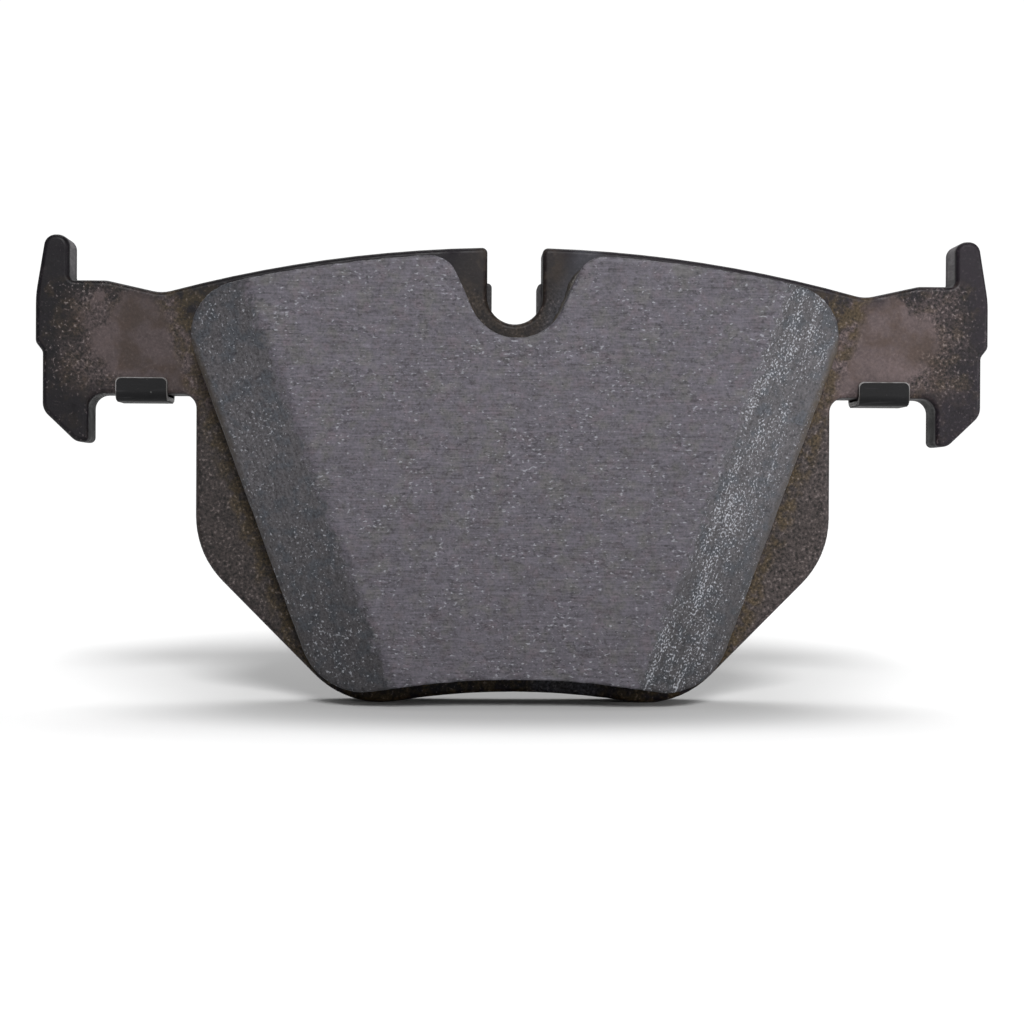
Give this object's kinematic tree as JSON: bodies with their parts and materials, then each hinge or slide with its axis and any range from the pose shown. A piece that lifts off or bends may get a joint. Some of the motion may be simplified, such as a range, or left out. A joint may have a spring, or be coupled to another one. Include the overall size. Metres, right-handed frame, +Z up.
{
  "type": "brake pad",
  "caption": "Disc brake pad: steel backing plate with hammerhead ears and a sensor notch, chamfered friction lining on an underlayer, and a clip-on layered rear shim.",
  "frame": {"origin": "on the outer face of the rear shim, in the middle of the pad's width and halfway up from its lobes to the top of its arch", "axes": "+X along the pad, ear to ear; +Z up, from the lobes to the arched edge with the notch; +Y out of the rear shim, so the friction face looks toward -Y"},
  "size_m": [0.123, 0.0173, 0.06],
  "materials": {
    "plate": "thin black-brown stoved paint, satin, with a faint rust tint beside the lining",
    "adhesive": "cured phenolic film, matt",
    "underlayer": "dense moulded composite, matt",
    "friction": "ground friction material, matt with fine streaks and bright flecks",
    "shim_glue": "pressure-sensitive adhesive film",
    "shim_rubber": "thin black nitrile coating, satin",
    "shim_steel": "cold-rolled sheet, bare at its sheared edges"
  },
  "bodies": {
    "root": {"backing_plate": "plate", "bonding_adhesive": "adhesive", "underlayer": "underlayer", "friction_block": "friction", "shim_adhesive": "shim_glue", "shim_inner_rubber": "shim_rubber", "shim_core": "shim_steel", "shim_outer_rubber": "shim_rubber"}
  },
  "joints": []
}
